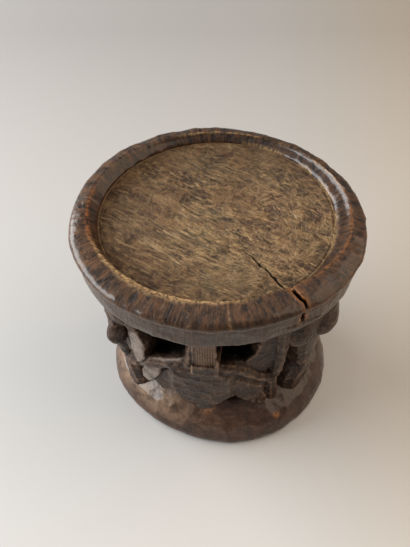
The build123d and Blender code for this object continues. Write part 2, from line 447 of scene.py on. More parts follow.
# The facets at the front figure's left that carry a pale painted sheen, in the same measures as the limbs
SHEEN_FACETS_MM = (
    ((-90, 181), (-77, 190), (-71, 166), (-77, 135), (-91, 117), (-95, 145)),
    ((-81, 118), (-55, 134), (-62, 110), (-80, 83), (-93, 82)),
    ((-80, 140), (-52, 152), (-26, 167), (-28, 163), (-52, 149), (-80, 137)),
)

# The corners of the block that holds the front figure
FIGURE_LOW = (-0.138, -0.16, BASE_TOP - 18 * MM)
FIGURE_HIGH = (0.128, -0.048, UNDERSIDE + 11 * MM)


def figure_shape(points, name):
    """One crouching figure at the front: post, shield, bent arms and bent legs, blended as one carving."""
    place = unrolled(points)
    limbs = {**LIMBS_MM, **OTHER_LIMBS_MM[name]}
    shape = member(place, *limbs.pop("post"), slope=3, flare=0)
    shape = blend(shape, member(place, *limbs.pop("torso"), slope=0.75), 2 * MM)
    collar = member(place, *limbs.pop("collar"), slope=3)
    for limb, sizes in limbs.items():
        shape = blend(shape, member(place, *sizes, flare=FLARES.get(limb, USUAL_FLARE)), 2.5 * MM)
    shape = blend(shape, collar, 0.8 * MM)
    above, below = points[:, 2] - (UNDERSIDE + 8 * MM), BASE_TOP - 16 * MM - points[:, 2]
    return np.maximum(shape, np.maximum(above, below))


def vary(points, seed):
    """Bends a figure a little between its ends, so that no two are alike."""
    ends = np.minimum(points[:, 2] - BASE_TOP, UNDERSIDE - points[:, 2]) / BAND
    free = smoothstep(0, 0.2, ends)
    for axis in range(3):
        points[:, axis] += noise(points, 45, seed + axis) * 3.5 * MM * free


def shade_and_sheen(points, normals):
    """Where a figure gets painted shade, at its back, in its depths and on sheltered ledges, and where it
    gets a pale painted sheen.
    """
    facing = np.sum(normals[:, :2] * points[:, :2], axis=1) / radius_of(points)
    across, height, out = unrolled(points)
    # Painted shade: sheltered ledges that face up, inward faces and deep recesses go dark
    shaded_ledge = smoothstep(-5 * MM, -14 * MM, out) * smoothstep(0.25, 0.6, normals[:, 2])
    inner_shade = np.maximum(smoothstep(0, -0.4, facing), smoothstep(-15 * MM, -25 * MM, out))
    # A pale painted sheen on outward facets that face the window
    gap = np.min([outline_gap(across, height, facet) for facet in SHEEN_FACETS_MM], axis=0)
    painted_light = smoothstep(1.5 * MM, -1.5 * MM, gap) * smoothstep(0.2, 0.6, facing)
    return np.maximum(shaded_ledge, inner_shade), painted_light


def figure_nodes(name):
    """The CAD pieces that a figure stands for."""
    limbs = itertools.product(("upper_arm", "forearm", "thigh", "shin"), ("left", "right"))
    return [f"{name}_post", f"{name}_torso"] + [f"{name}_{limb}_{side}" for limb, side in limbs]


def build_figures(material):
    for count, (name, turn) in enumerate(FIGURE_TURNS.items()):
        points, faces = mesh_of(lambda points: figure_shape(points, name), FIGURE_LOW, FIGURE_HIGH, VOXEL)
        if name != "front":
            vary(points, 40 + count * 3)
        inner_shade, painted_light = shade_and_sheen(points, vertex_normals(points, faces))
        hewn = turned(hew(points, faces, 100 + count * 7), turn)
        piece = make_object(f"{name}_figure", hewn, faces, material, figure_nodes(name))
        # Painted shade inside the figure, and a painted sheen that is fainter on the figures other than the
        # front one
        add_layer(piece.data, "inner_shade", inner_shade)
        add_layer(piece.data, "painted_light", painted_light if name == "front" else painted_light * 0.3)
        layer = piece.data.attributes.new("hatch", "FLOAT_VECTOR", "POINT")
        layer.data.foreach_set("vector", points.ravel())


# The knobs under the seat

# Turn, share of the carving's radius, top and bottom as shares of the band, width and depth in mm
KNOBS = {
    "knob_front_right": (41, 0.91, 1.05, 0.643, 38, 34),
    "knob_right_side": (58, 0.935, 1.05, 0.573, 46, 38),
    "knob_back_right": (131, 0.91, 1.03, 0.701, 31, 29),
    "knob_back_left": (-142, 0.91, 1.03, 0.701, 31, 29),
    "knob_front_left_stub": (-50, 0.9, 1.05, 0.744, 44, 34),
    "knob_front_left_bead": (-52.5, 0.965, 0.69, 0.545, 21, 20),
}
KNOB_LUMPS = 5


def spot(radius_share, height_share):
    """A place at the front, from its shares of the carving's radius and of the band."""
    return np.array([0, -CARVING_RADIUS * radius_share, BASE_TOP + BAND * height_share])


def lump(points, centre, radii):
    """An egg-shaped lump. radii are its half sizes across, outwards and up."""
    size = np.linalg.norm((points - centre) / np.array(radii), axis=1)
    return (size - 1) * min(radii)


def knob_shape(points, radius_share, top, bottom, width, depth):
    """A rounded lobe that hangs from the seat, and is nearly as wide at its neck."""
    belly = bottom + 0.5 * width * MM / BAND
    shape = lump(points, spot(radius_share, belly), (width * MM / 2, depth * MM / 2, width * MM / 2))
    for step in range(1, KNOB_LUMPS + 1):
        place = spot(radius_share - 0.004 * step, belly + (top - belly) * step / KNOB_LUMPS)
        slim = 1 - 0.03 * step
        size = (width * slim * MM / 2, depth * slim * MM / 2, width * MM * 0.45)
        shape = blend(shape, lump(points, place, size), 5 * MM)
    return np.maximum(shape, points[:, 2] - (UNDERSIDE + 9 * MM))


def build_knobs(material):
    for count, (name, (turn, radius_share, top, bottom, width, depth)) in enumerate(KNOBS.items()):
        place = spot(radius_share, (top + bottom) / 2)
        reach = np.array([width * MM, depth * MM, (top - bottom) * BAND / 2 + 8 * MM])
        points, faces = mesh_of(
            lambda points: knob_shape(points, radius_share, top, bottom, width, depth),
            tuple(place - reach), tuple(place + reach), VOXEL * 0.75,
        )
        points = hew(points, faces, 300 + count * 5, 0.5 * MM, 0.2 * MM)
        make_object(name + "_carved", turned(points, turn), faces, material, [name])


# The crack

# Radius and turn of the crack's middle, radius and half its width, radius and its depth
CRACK_PATH_MM = ((55, 31), (79, 31.4), (99, 32.5), (120, 33.3), (134, 33.9), (148, 32.6), (165, 33.4))
CRACK_HALF_WIDTH_MM = ((55, 0.6), (90, 1.2), (128, 1.5), (140, 1.9), (152, 2.3), (165, 2.7))
CRACK_DEPTH_MM = ((55, 0), (70, 3), (128, 4), (140, 7))
BROKEN_WIDTH_MM = ((128, 1), (140, 5))
CRACK_START = 55 * MM

# Turn and level above the underside of the split under the rim, and turn and half its height
SPLIT_LEVEL_MM = ((26, 9), (31, 9.5), (41, 6))
SPLIT_HEIGHT_MM = ((26, 0), (30, 1.8), (36, 1.4), (42, 0))


def crack_fields(points):
    """The drying crack through the seat: how deep it cuts, its opening, and the broken wood beside it."""
    radius = radius_of(points)
    along = np.stack([radius, points[:, 2], np.zeros_like(radius)], axis=1)
    centre = look_up(CRACK_PATH_MM, radius / MM)
    wander = noise(along, 4.5, 11) * 0.9 * MM + noise(along, 12, 12) * 1.6 * MM
    wander += noise(along, 2.2, 15) * 0.5 * MM
    side = np.abs(np.radians(turn_gap(azimuth(points), centre)) * radius - wander)
    half = look_up(CRACK_HALF_WIDTH_MM, radius / MM) * MM * (1 + 0.45 * noise(along, 5, 13))
    cut = clamp(1 - side / half) ** 0.5
    depth = look_up(CRACK_DEPTH_MM, radius / MM) * MM
    fade = smoothstep(UNDERSIDE + 5 * MM, UNDERSIDE + 12 * MM, points[:, 2]) * (radius > CRACK_START)
    broken = clamp(1 - (side - half) / (look_up(BROKEN_WIDTH_MM, radius / MM) * MM))
    flaked = broken * (0.65 + 0.5 * noise(points, 4, 14)) * fade
    return depth * cut * fade, cut * fade, flaked


def split_depth(points):
    """The split that runs along under the rim from the crack's outer end."""
    turn = azimuth(points)
    level = UNDERSIDE + look_up(SPLIT_LEVEL_MM, turn) * MM
    height = look_up(SPLIT_HEIGHT_MM, turn) * MM
    outer = radius_of(points) > SEAT_RADIUS * 0.92
    return 5 * MM * clamp(1 - np.abs(points[:, 2] - level) / np.maximum(height, 1e-6)) ** 0.5 * outer


# The rim

# Beyond the seat's radius and above its underside, then beyond the seat's radius and above its top
RIM_OUTSIDE_MM = ((-7.5, 0), (-6, 1.5), (-6.5, 22.5), (-6, 25), (-3, 27), (0.3, 32), (-3, 36.5), (-9, 39))
RIM_CREST_MM = ((-18, 0), (-26, -0.3), (-29.5, -4))
CREST_EDGE_RADIUS = SEAT_RADIUS - 27 * MM

# Turn, then how far the rim's outline and the crest's inner edge are moved outwards, and the crest raised
RIM_SHIFTS_MM = (
    (-180, -9.5, 2, -2), (-160, -9, 2, -2), (-146, -8, 2, -1.5), (-134, -6, 2, 0), (-125, -6.5, 3, 0),
    (-110, -4.5, 4, 0), (-95, -4, 4, 0), (-75, -1, 2, 0.5), (-50, 0, -2, 1), (-20, 0, -4.5, 1.5),
    (0, -0.5, -5, 1.5), (25, 0, -4, 1), (42, 2, 0, 0), (58, 3.5, 5, 0), (75, 1.5, 8, 0), (90, -2, 8, 0),
    (105, -5.5, 7, 0), (120, -10.5, 5, -0.5), (132, -12.5, 4, -0.5), (150, -13, 3, -1.5),
    (165, -11.5, 2, -2), (180, -9.5, 2, -2),
)
GOLD_WIDTH_MM = ((-66, 3.5), (-45, 5.5), (-20, 5), (5, 3), (90, 3.5), (110, 2.5))

# Short nicks in numbers, between two turns, then single ones: turn, half width in degrees, reach
SHORT_NICKS = 52
SHORT_NICK_TURNS = (-66, 8)
LONG_NICKS_MM = ((-97, 0.45, 24), (103, 0.5, 9), (-131, 0.35, 16), (62, 0.3, 12))
# Single scratches: turn, and degrees of slant per mm down
SCRATCHES = ((-11, 0.16), (-8.6, -0.12), (4.5, 0.03), (-21, 0.3), (-140, -0.2))
SCRATCH_HALF_WIDTH = 0.2


def rim_section():
    """The rim's section, from the dish's edge under the seat out, up and back down into the dish."""
    start = (DISH_RADIUS - 0.5 * MM, UNDERSIDE)
    outside = beyond(SEAT_RADIUS, UNDERSIDE, RIM_OUTSIDE_MM)
    crest = beyond(SEAT_RADIUS, SEAT_TOP, RIM_CREST_MM)
    foot, end = beyond(DISH_RADIUS, SEAT_FLOOR, ((1, 1.5), (-0.5, -3)))
    return along_section([start, *rounded(outside + crest + [foot], 2), end], FINE_STEP)


def rim_shifts(turns):
    known, *columns = zip(*RIM_SHIFTS_MM)
    return [np.interp(turns, known, column) * MM for column in columns]


def rim_relief(points, turn, outer):
    """The adze's scoops, fainter at the smooth front left, and the log's own unevenness."""
    upper = smoothstep(UNDERSIDE + 2 * MM, UNDERSIDE + 14 * MM, points[:, 2])
    calm = 1 - 0.75 * between(turn, -125, -105, -55, -35)
    marks = scoops(points, 30, 21) * 0.9 * MM * outer + scoops(points, 11, 22) * 0.35 * MM
    uneven = noise(points, 60, 23) * 0.8 * MM * outer * upper + noise(points, 3, 24) * 0.16 * MM
    return marks * calm + uneven


def rim_nicks(points, radius, turn):
    """Dark nicks across the crest's inner edge."""
    draw = np.random.default_rng(5)
    edge_gap = np.abs(radius - CREST_EDGE_RADIUS)
    nicks = np.zeros(len(points))
    for centre in draw.uniform(*SHORT_NICK_TURNS, SHORT_NICKS):
        width, reach = draw.uniform(0.2, 0.6), draw.uniform(2.5, 7) * MM
        across = clamp(1 - np.abs(turn_gap(turn, centre)) / width)
        nicks = np.maximum(nicks, draw.uniform(0.3, 1) * across * clamp(1 - edge_gap / reach))
    wander = noise(points, 6, 27) * 0.6
    for centre, width, reach in LONG_NICKS_MM:
        across = clamp(1 - np.abs(turn_gap(turn, centre) - wander) / width)
        nicks = np.maximum(nicks, across * clamp(1.2 - edge_gap / (reach * MM)))
    return nicks * (points[:, 2] > SEAT_FLOOR + 4 * MM)


def rim_scratches(points, radius, turn):
    """Thin pale scratches across the rim's shoulder."""
    height = points[:, 2]
    scratched = np.zeros(len(points))
    for centre, slant in SCRATCHES:
        line = turn_gap(turn, centre + slant * (SEAT_TOP - height) / MM)
        scratched = np.maximum(scratched, clamp(1.2 - np.abs(line) / SCRATCH_HALF_WIDTH))
    return scratched * (height > UNDERSIDE + 29 * MM) * (radius > SEAT_RADIUS - 17 * MM)


def rim_edges(points, radius, height, turn):
    """Where the rim's edges are rubbed golden, where orange, and where a golden painted highlight runs along
    the foot at the right.
    """
    width = look_up(GOLD_WIDTH_MM, turn) * MM * (1 + 0.5 * noise(points, 14, 25))
    inner = clamp(1.1 - np.abs(radius - (SEAT_RADIUS - 25 * MM)) / width) * (height > SEAT_TOP - 3.5 * MM)
    # A golden painted highlight along the rim's foot, kept to the right, where the inner wall faces the light
    foot = clamp(1 - np.abs(radius - (DISH_RADIUS + 1 * MM)) / (1.6 * MM)) * (height > SEAT_FLOOR - 2 * MM)
    foot *= smoothstep(-0.25, 0.35, noise(points, 16, 26))
    front_left = between(turn, -78, -62, -5, 24)
    right = between(turn, 38, 60, 150, 178)
    left = between(turn, -112, -98, -76, -64)
    back = smoothstep(95, 120, turn) + smoothstep(-155, -172, turn)
    gold_wear_and_highlight = clamp(inner * front_left + 0.8 * inner * back + foot * right * 0.6)
    return gold_wear_and_highlight, clamp(inner * left + 0.45 * inner * right)


def build_rim(material):
    section, turns = rim_section(), round_turns()
    points, faces = spin(section, turns, closed=True)
    radius, height, turn = radius_of(points), points[:, 2].copy(), azimuth(points)
    outer = smoothstep(DISH_RADIUS + 2 * MM, SEAT_RADIUS - 12 * MM, radius)
    nicks = rim_nicks(points, radius, turn)
    scratched = rim_scratches(points, radius, turn)
    depth, gap, flaked = crack_fields(points)
    push = rim_relief(points, turn, outer)
    push -= nicks * 0.9 * MM + depth + split_depth(points) + flaked * 0.8 * MM
    hidden = (height < UNDERSIDE + 0.2 * MM) | (radius < DISH_RADIUS + 0.2 * MM)
    points += spun_normals(section, turns) * np.where(hidden, 0, push)[:, None]
    # The log's true outline
    outline, inner_edge, lift = rim_shifts(turn)
    crest = smoothstep(SEAT_FLOOR + 2 * MM, SEAT_TOP - 2 * MM, height)
    shift = outline * outer + inner_edge * crest * smoothstep(SEAT_RADIUS - 8 * MM, CREST_EDGE_RADIUS, radius)
    points[:, :2] *= (1 + shift / radius)[:, None]
    points[:, 2] += lift * crest
    piece = make_object("seat_rim_carved", points, faces, material, ["seat_rim"])
    gold_wear_and_highlight, orange = rim_edges(points, radius, height, turn)
    layers = {
        "wear_and_highlight": gold_wear_and_highlight, "ember": orange, "nick": clamp(nicks), "scratch": scratched, "crack": clamp(gap),
        "flaked": clamp(flaked),
    }
    for name, value in layers.items():
        add_layer(piece.data, name, value)


# The seat's floor

def build_panel(material):
    edge, under = DISH_RADIUS + 1.5 * MM, UNDERSIDE + 0.2 * MM
    lower = [(POLE, under), (DISH_RADIUS - 2 * MM, under), (edge, SEAT_FLOOR - 4 * MM), (edge, SEAT_FLOOR)]
    upper = [(edge, SEAT_FLOOR), (POLE, SEAT_FLOOR)]
    section = np.concatenate([along_section(lower, 6 * MM), along_section(upper, FINE_STEP)[1:]])
    points, faces = spin(section, round_turns(), closed=False)
    radius = radius_of(points)
    on_top = points[:, 2] > SEAT_FLOOR - 0.1 * MM
    height = scoops(points, 19, 31) * 0.55 * MM + noise(points, 70, 32) * 0.8 * MM
    height += scoops(points, 8, 34) * 0.28 * MM + noise(points, 4.5, 33) * 0.42 * MM
    height += noise(points, 2.4, 35) * 0.17 * MM
    # The floor dips towards its middle, and a groove parts it from the rim
    height -= smoothstep(110 * MM, 0, radius) * 1.5 * MM
    height -= 0.9 * MM * clamp(1 - np.abs(radius - (DISH_RADIUS - 1.6 * MM)) / (1.5 * MM))
    fade = smoothstep(DISH_RADIUS + 1 * MM, DISH_RADIUS - 3 * MM, radius)
    depth, gap, _ = crack_fields(points)
    points[:, 2] += np.where(on_top, height * fade - depth, 0)
    piece = make_object("seat_panel_carved", points, faces, material, ["seat_panel"])
    add_layer(piece.data, "crack", np.where(on_top, gap, 0))


# The base

# Beyond the base's radius and above the floor, then beyond the base's radius and above its top
BASE_EDGE_MM = ((-5.5, 0), (-1.5, 2.5), (0, 9), (-2.5, 18))
BASE_CROWN_MM = ((-9, -12), (-15, -6.5), (-25, 1), (-34, 8), (-46, 9))
# Turn, and how far the base's outline is moved outwards
BASE_SHIFTS_MM = (
    (-180, -1), (-130, -2), (-90, -4.5), (-70, -5), (-55, -7), (-41, -9), (-21, -7.5), (6, 0.5),
    (27, 4.5), (46, 4.5), (64, 4), (78, 2.5), (110, 0), (150, -1), (180, -1),
)


def build_base(material):
    corners = beyond(BASE_RADIUS, 0, BASE_EDGE_MM) + beyond(BASE_RADIUS, BASE_TOP, BASE_CROWN_MM)
    ends = (POLE, 0), (POLE, BASE_TOP + 6 * MM)
    section = along_section([ends[0], *rounded(corners, 1), ends[1]], 1.3 * MM)
    turns = np.linspace(-180, 180, BASE_STEPS, endpoint=False)
    points, faces = spin(section, turns, closed=False)
    radius, turn = radius_of(points), azimuth(points)
    calm = 1 - 0.6 * between(turn, -125, -105, -20, 10)
    push = scoops(points, 26, 51) * 0.9 * MM * calm + scoops(points, 10, 52) * 0.3 * MM * calm
    push += noise(points, 3, 53) * 0.1 * MM
    shown = smoothstep(0.2 * MM, 3 * MM, points[:, 2]) * smoothstep(20 * MM, 60 * MM, radius)
    wide = look_up(BASE_SHIFTS_MM, turn) * MM * smoothstep(60 * MM, BASE_RADIUS, radius)
    points += spun_normals(section, turns) * (push * shown)[:, None]
    points[:, :2] *= (1 + wide / np.maximum(radius, MM))[:, None]
    make_object("base_carved", points, faces, material, ["base_disc"])


# Materials

class Nodes:
    """A short way to write a material's nodes."""

    def __init__(self, name):
        self.material = bpy.data.materials.new(name)
        self.material.use_nodes = True
        self.tree = self.material.node_tree

    def set(self, socket, value):
        if isinstance(value, bpy.types.NodeSocket):
            self.tree.links.new(value, socket)
        else:
            socket.default_value = value

    def add(self, kind, inputs=(), output=0, **settings):
        node = self.tree.nodes.new(kind)
        for key, value in settings.items():
            setattr(node, key, value)
        for key, value in dict(inputs).items():
            self.set(node.inputs[key], value)
        return node.outputs[output]

    def finish(self, inputs):
        """Sets the shader's inputs by their names, and gives the material."""
        shader = self.tree.nodes["Principled BSDF"]
        for key, value in inputs.items():
            self.set(shader.inputs[key], value)
        return self.material

    def attribute(self, name, output="Fac"):
        return self.add("ShaderNodeAttribute", attribute_name=name, output=output)

    def own(self):
        """The object's own coordinates."""
        return self.add("ShaderNodeTexCoord", output="Object")

    def split(self, vector):
        """A vector's X, Y and Z."""
        node = self.tree.nodes.new("ShaderNodeSeparateXYZ")
        self.set(node.inputs[0], vector)
        return node.outputs["X"], node.outputs["Y"], node.outputs["Z"]

    def mapped(self, vector, stretch, turn=(0, 0, 0)):
        """Coordinates for a texture that is stretched along its axes and then turned."""
        inputs = {"Vector": vector, "Scale": stretch, "Rotation": turn}
        return self.add("ShaderNodeMapping", inputs, vector_type="TEXTURE")

    def place(self, stretch=(1, 1, 1), turn=(0, 0, 0)):
        return self.mapped(self.own(), stretch, turn)

    def around(self, stretch, centre=(0, 0), arc_radius=SEAT_RADIUS):
        """Coordinates round an upright axis, for a texture stretched round it, outwards and upwards."""
        across, along, height = self.split(self.vector_math("SUBTRACT", self.own(), (*centre, 0)))
        angle = self.math("ARCTAN2", across, along)
        square = self.math("ADD", self.times(across, across), self.times(along, along))
        inputs = {"X": self.times(angle, arc_radius), "Y": self.math("SQRT", square), "Z": height}
        return self.mapped(self.add("ShaderNodeCombineXYZ", inputs), stretch)

    def distance(self, vector, place):
        return self.vector_math("DISTANCE", vector, place, output="Value")

    def cells(self, vector, scale):
        """Distance to the nearest of many scattered points."""
        return self.add("ShaderNodeTexVoronoi", {"Vector": vector, "Scale": scale}, output="Distance")

    def noise(self, vector, scale, detail=4, roughness=0.55, distortion=0):
        inputs = {"Vector": vector, "Scale": scale, "Detail": detail, "Roughness": roughness}
        inputs["Distortion"] = distortion
        return self.add("ShaderNodeTexNoise", inputs, output="Fac")

    def ramp(self, value, low, high, start=0, end=1):
        """start where the value is low or beyond it, end where it is high or beyond it, and even between."""
        inputs = {"Value": value, "From Min": low, "From Max": high, "To Min": start, "To Max": end}
        return self.add("ShaderNodeMapRange", inputs)

    def mix(self, share, a, b, blend="MIX"):
        """Mixes two colours, each a socket, or its red, green and blue from 0 to 255."""
        a, b = [colour(*tone) if isinstance(tone, tuple) else tone for tone in (a, b)]
        # A Mix node's sockets for colours are its inputs 6 and 7 and its output 2
        settings = {"data_type": "RGBA", "blend_type": blend}
        return self.add("ShaderNodeMix", {0: share, 6: a, 7: b}, output=2, **settings)

    def layers(self, tone, *coats):
        """Lays colours over a tone, each by its share."""
        for share, coat in coats:
            tone = self.mix(share, tone, coat)
        return tone

    def math(self, kind, *values):
        return self.add("ShaderNodeMath", enumerate(values), operation=kind)

    def vector_math(self, kind, *values, output=0):
        return self.add("ShaderNodeVectorMath", enumerate(values), output, operation=kind)

    def times(self, value, *others):
        for other in others:
            value = self.math("MULTIPLY", value, other)
        return value

    def total(self, first, *others):
        """The sum of values, each times its weight."""
        value = self.times(*first)
        for other in others:
            value = self.math("ADD", value, self.times(*other))
        return value

    def bump(self, height, strength, distance, under=None):
        inputs = {"Height": height, "Strength": strength, "Distance": distance}
        if under:
            inputs["Normal"] = under
        return self.add("ShaderNodeBump", inputs)


def colour(red, green, blue):
    """A colour as the eye and the screen give it, from 0 to 255, for a shader."""
    parts = [value / 255 for value in (red, green, blue)]
    return tuple(((p + 0.055) / 1.055) ** 2.4 if p > 0.04 else p / 12.92 for p in parts) + (1,)


# Where the base is rubbed down to orange wood: the place, and how wide
ORANGE_SPOTS = (((0.0715, -0.1145, 0.03), 0.006), ((-0.012, -0.116, 0.046), 0.012))
COAT_TINT = (1, 0.97, 0.93, 1)
HATCH_STEP = 2.7 * MM
# The radii between which the band's inside turns to painted shade, nearly black
INNER_SHADE_RADII = (0.098, 0.112)


def patina(kind, shades, stretch, blotch, fleck, grain, gloss):
    """Dark handled wood: stretched streaks, flecks and pits, dark hollows, and edges worn to a warm brown,
    with painted shade inside the stool and a pale painted sheen on some facets.

    kind is rim, base or carved. shades are deep, middle and worn. blotch, fleck and grain are how strong
    worn patches, flecks and streaks are. gloss is specular, coat and the coat's roughness.
    """
    n = Nodes(f"{kind}_patina")
    deep, middle, worn = shades
    rim = kind == "rim"
    if rim:
        mottle = n.noise(n.around((1, 2.6, 2.6)), 110, 7, 0.7, 0.5)
    else:
        mottle = n.noise(n.place(), 60, 7, 0.7, 0.3)
    streak = n.noise(n.around(stretch), 420, 3, 0.6, 0.4)
    speck = n.noise(n.place((1, 1, 1.6)), 260, 4, 0.65)
    patches = n.noise(n.place(), 26, 5, 0.6, 0.6)
    pits = n.cells(n.place(), 190)
    wear = n.attribute("wear")
    ridges = n.times(n.ramp(wear, 0.53, 0.74, 0, 0.9), n.ramp(mottle, 0.4, 0.58, 0.15, 1))
    tone = n.layers(
        n.mix(n.ramp(mottle, 0.36, 0.62), deep, middle),
        (n.ramp(patches, 0.52, 0.64, 0, blotch), worn),
        (n.times(n.ramp(streak, 0.52, 0.64, 0, 0.45 * grain), n.ramp(mottle, 0.42, 0.56)), worn),
        (n.ramp(streak, 0.46, 0.37, 0, 0.55 * grain), deep),
        (n.ramp(speck, 0.53, 0.64, 0, fleck), worn),
        (n.ramp(speck, 0.47, 0.36, 0, fleck), deep),
        (ridges, worn),
        (n.ramp(wear, 0.48, 0.3, 0, 0.9), deep),
    )
    if rim:
        tone = rim_tones(n, tone, speck, mottle)
    height = n.total((streak, 1), (speck, 0.5), (n.ramp(pits, 0, 0.25), 0.3))
    normal = n.bump(height, 0.8, 0.002 if rim else 0.0009)
    tone = n.mix(n.ramp(pits, 0.16, 0.05, 0, 0.6), tone, deep)
    if kind == "carved":
        # A pale painted sheen on the figures' facets that face the window
        painted_sheen = n.times(n.attribute("painted_light"), n.ramp(mottle, 0.38, 0.6, 0.3, 0.85))
        tone = n.mix(painted_sheen, tone, (150, 136, 125))
        tone, normal = hatching(n, tone, normal, deep)
    if kind == "base":
        tone = base_tones(n, tone, speck, mottle)
    # Painted shade: the inside of the stool goes nearly black
    if not rim:
        tone = n.mix(inner_shade_share(n), tone, (5, 3, 2))
    specular, coat, coat_roughness = gloss
    return n.finish({
        "Base Color": tone,
        "Roughness": n.ramp(n.total((mottle, 0.5), (speck, 0.5)), 0.4, 0.6, 0.22, 0.5),
        "Normal": normal,
        "Specular IOR Level": specular,
        "Coat Weight": coat,
        "Coat Roughness": coat_roughness,
        "Coat Tint": COAT_TINT,
    })


def inner_shade_share(n):
    """How far a place is painted nearly black as shade: inside the stool's band, and where a figure carries
    painted shade.
    """
    level = n.vector_math("MULTIPLY", n.own(), (1, 1, 0))
    radius = n.vector_math("LENGTH", level, output="Value")
    return n.math("MAXIMUM", n.ramp(radius, *INNER_SHADE_RADII, 0.97, 0), n.attribute("inner_shade"))


def base_tones(n, tone, speck, mottle):
    """The base's colours: painted light at the left, painted shade at the right, and orange at two spots."""
    across, _, up = n.split(n.place())
    # Painted light on the left of the base, and painted shade on its right, away from the window
    painted_light = n.times(n.ramp(across, 0, -0.06), n.ramp(mottle, 0.42, 0.58, 0.2, 0.8), n.ramp(up, 0.012, 0.03))
    right_shade = n.ramp(across, 0.03, 0.1, 0, 0.4)
    tone = n.layers(tone, (painted_light, (143, 115, 90)), (right_shade, (46, 30, 22)))
    for place, size in ORANGE_SPOTS:
        near = n.ramp(n.distance(n.place(), place), size, size * 0.5)
        tone = n.mix(n.times(near, n.ramp(speck, 0.4, 0.52, 0.1, 0.9)), tone, (152, 102, 64))
    return tone


def rim_tones(n, tone, speck, mottle):
    """The rim's colours: rubbed crest, painted shade on the front, striated lower band, worn edges, a golden
    painted highlight along the foot at the right, and single marks.
    """
    _, along, up = n.split(n.own())
    strokes = n.noise(n.place((1, 1, 12)), 520, 3, 0.6)
    crest = n.times(n.ramp(up, SEAT_TOP - 8 * MM, SEAT_TOP - 1 * MM), n.ramp(mottle, 0.44, 0.62, 0, 0.6))
    # Painted shade on the rim's front, below its top few millimetres
    front = n.times(n.ramp(along, -0.08, -0.14, 0, 0.5), n.ramp(up, SEAT_TOP, SEAT_TOP - 4 * MM))
    lower = n.ramp(up, UNDERSIDE + 28 * MM, UNDERSIDE + 24 * MM)
    return n.layers(
        tone,
        (crest, (120, 84, 54)),
        (front, (50, 35, 26)),
        (n.times(lower, n.ramp(strokes, 0.4, 0.58, 0.1, 0.9)), (78, 61, 50)),
        (n.times(n.attribute("wear_and_highlight"), n.ramp(speck, 0.42, 0.54, 0.2, 0.95)), (198, 164, 118)),
        (n.times(n.attribute("ember"), n.ramp(speck, 0.44, 0.56, 0.05, 0.8)), (178, 110, 58)),
        (n.ramp(n.attribute("nick"), 0.25, 0.7, 0, 0.85), (34, 22, 14)),
        (n.times(n.attribute("scratch"), n.ramp(speck, 0.44, 0.54, 0, 0.6)), (160, 134, 104)),
        (n.times(n.attribute("flaked"), n.ramp(speck, 0.36, 0.55, 0.3, 1)), (170, 108, 58)),
        (n.ramp(n.attribute("crack"), 0.1, 0.45), (9, 5, 3)),
    )


def hatching(n, tone, normal, deep):
    """Crossed knife lines on the front face of each figure's post."""
    across, along, up = n.split(n.attribute("hatch", "Vector"))
    waves = [n.math("SINE", n.times(part, TAU / HATCH_STEP)) for part in (across, up)]
    lines = n.math("MAXIMUM", *[n.ramp(wave, 0.45, 0.95) for wave in waves])
    inside = n.times(
        n.ramp(up, 0.164, 0.167),
        n.ramp(n.math("ABSOLUTE", across), 0.0115, 0.0105),
        n.ramp(along, -0.135, -0.139),
    )
    lines = n.times(lines, inside)
    tone = n.layers(tone, (n.times(inside, 0.75), (148, 118, 94)), (n.times(lines, 0.85), deep))
    return tone, n.bump(lines, 0.9, -0.001, normal)


# X, Y and diameter of the beetles' holes in the seat's floor
WORM_HOLES_MM = (
    (-85.8, 76.3, 1.5), (-73.6, 67.3, 1.2), (-52.5, 61.8, 1.3), (-45.6, 65.2, 1.3), (-61.1, 46.3, 1.5),
    (-126.6, -17, 1.7), (23.5, -19.7, 1.6), (27, -14, 1.2), (-8, -38, 1), (6, -52, 1),
)
# Direction in degrees, scale, threshold and strength of the knife strokes, and the part of the floor where
# they mass: the axis, and where along it they start and reach their full strength
STROKES = (
    (-40, 210, 0.54, 1, ("X", 0.03, -0.04)),
    (-30, 300, 0.55, 1, ("X", 0.06, -0.03)),
    (-12, 300, 0.57, 0.9, ("Y", 0, -0.05)),
    (-66, 280, 0.58, 0.7, ("X", -0.01, 0.05)),
    (30, 300, 0.59, 0.7, ("X", -0.02, 0.04)),
    (78, 320, 0.6, 0.7, ("Y", 0, 0.05)),
)
# The log's heart, and the place on the floor least darkened by painted shade, which grows towards the rim at
# the back and left
HEART = (0.012, -0.002)
LEAST_SHADED_PLACE = (0.038, -0.025, SEAT_FLOOR)


def scratches(n, bent, stretch, turn, scale, low):
    """Fine broken lines in one direction: 0 between them, 1 on them."""
    vector = n.mapped(bent, (stretch, 1, 1), (0, 0, math.radians(turn)))
    return n.ramp(n.noise(vector, scale, 3, 0.6), low, low + 0.06)


def knife_strokes(n, bent, position):
    """Pale strokes left by the knife, in bundles."""
    strokes = None
    for turn, scale, low, amount, (axis, start, end) in STROKES:
        bundles = n.ramp(n.noise(n.place(turn=(0.1, 0, turn)), 34, 3), 0.49, 0.58, 0, amount)
        mass = n.ramp(position[axis], start, end, 0.25, 1)
        lines = n.times(scratches(n, bent, 15, turn, scale, low), bundles, mass)
        strokes = n.math("MAXIMUM", strokes, lines) if strokes else lines
    return strokes


